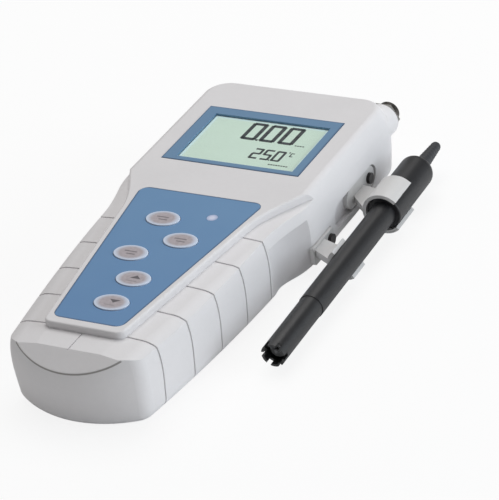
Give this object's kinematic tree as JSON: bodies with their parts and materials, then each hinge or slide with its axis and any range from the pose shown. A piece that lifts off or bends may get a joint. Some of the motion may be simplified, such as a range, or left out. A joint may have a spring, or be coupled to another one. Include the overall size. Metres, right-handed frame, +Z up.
{
  "type": "conductivity meter",
  "caption": "Hand-held conductivity meter with a display head, a keypad grip, and a rod probe held in clips at its side.",
  "frame": {"origin": "on the underside of the lower housing, below the middle of the meter", "axes": "+X to the side that carries the probe, +Y to the display end, +Z up through the keypad"},
  "size_m": [0.1254, 0.2482, 0.0385],
  "materials": {
    "housing": "fine moulded texture, off white",
    "clip_plastic": "smooth moulded, white",
    "keypad_film": "satin printed film, blue",
    "key_plastic": "satin, pale lilac rim round a grey middle",
    "light_pipe": "clear moulded",
    "frame_print": "printed blue border",
    "display_lens": "clear acrylic",
    "display_glass": "pale green liquid crystal panel",
    "holder_plastic": "moulded, white",
    "strip_rubber": "banded contact rubber",
    "board_laminate": "green solder mask",
    "chip_plastic": "moulded, black",
    "switch_metal": "stamped",
    "screw_steel": "zinc plated",
    "dark_screw": "blackened",
    "cell_wrap": "plain wrapped",
    "contact_metal": "nickel plated spring",
    "lead_wire": "insulated wire",
    "socket_metal": "nickel plated",
    "socket_plastic": "insulating insert, black",
    "pin_metal": "gold flashed",
    "probe_plastic": "satin, near black",
    "cap_plastic": "satin, dark grey",
    "core_plastic": "cast resin, black",
    "ring_metal": "blackened platinum",
    "seal_rubber": "nitrile",
    "relief_rubber": "soft moulded, dark grey"
  },
  "bodies": {
    "housing": {"top_housing": "housing", "base_housing": "housing", "keypad_overlay": "keypad_film", "key_switches": "switch_metal", "status_light": "light_pipe", "window_frame": "frame_print", "window_lens": "display_lens", "lcd_panel": "display_glass", "lcd_holder": "holder_plastic", "lcd_strips": "strip_rubber", "circuit_board": "board_laminate", "board_chips": "chip_plastic", "board_screws": "screw_steel", "housing_screws": "screw_steel", "battery_cells": "cell_wrap", "battery_contacts": "contact_metal", "battery_leads": "lead_wire", "probe_socket": "socket_metal", "socket_nut": "socket_metal", "socket_core": "socket_plastic", "socket_pins": "pin_metal", "upper_probe_clip": "clip_plastic", "lower_probe_clip": "clip_plastic", "clip_screws": "dark_screw"},
    "power_key": {"power_key": "key_plastic"},
    "mode_key": {"mode_key": "key_plastic"},
    "confirm_key": {"confirm_key": "key_plastic"},
    "up_key": {"up_key": "key_plastic"},
    "down_key": {"down_key": "key_plastic"},
    "probe": {"probe_cap": "cap_plastic", "probe_tube": "probe_plastic", "probe_sleeve": "probe_plastic", "sensor_core": "core_plastic", "electrode_rings": "ring_metal", "temperature_sensor": "core_plastic", "cap_seal": "seal_rubber", "strain_relief": "relief_rubber"},
    "battery_cover": {"battery_cover": "housing", "cover_screw": "screw_steel"}
  },
  "joints": [
    {"name": "power_key_press", "type": "slide", "parent": "housing", "child": "power_key", "axis": [0, 0, -1], "range_m": [0, 0.0005], "stiffness_N_per_m": 600, "springref_m": -0.0005},
    {"name": "mode_key_press", "type": "slide", "parent": "housing", "child": "mode_key", "axis": [0, 0, -1], "range_m": [0, 0.0005], "stiffness_N_per_m": 600, "springref_m": -0.0005},
    {"name": "confirm_key_press", "type": "slide", "parent": "housing", "child": "confirm_key", "axis": [0, 0, -1], "range_m": [0, 0.0005], "stiffness_N_per_m": 600, "springref_m": -0.0005},
    {"name": "up_key_press", "type": "slide", "parent": "housing", "child": "up_key", "axis": [0, 0, -1], "range_m": [0, 0.0005], "stiffness_N_per_m": 600, "springref_m": -0.0005},
    {"name": "down_key_press", "type": "slide", "parent": "housing", "child": "down_key", "axis": [0, 0, -1], "range_m": [0, 0.0005], "stiffness_N_per_m": 600, "springref_m": -0.0005},
    {"name": "probe_slide", "type": "slide", "parent": "housing", "child": "probe", "axis": [0, 0.9997, 0.0227], "range_m": [0, 0.133]},
    {"name": "battery_cover_lift", "type": "slide", "parent": "housing", "child": "battery_cover", "axis": [0, 0, -1], "range_m": [0, 0.02]}
  ]
}
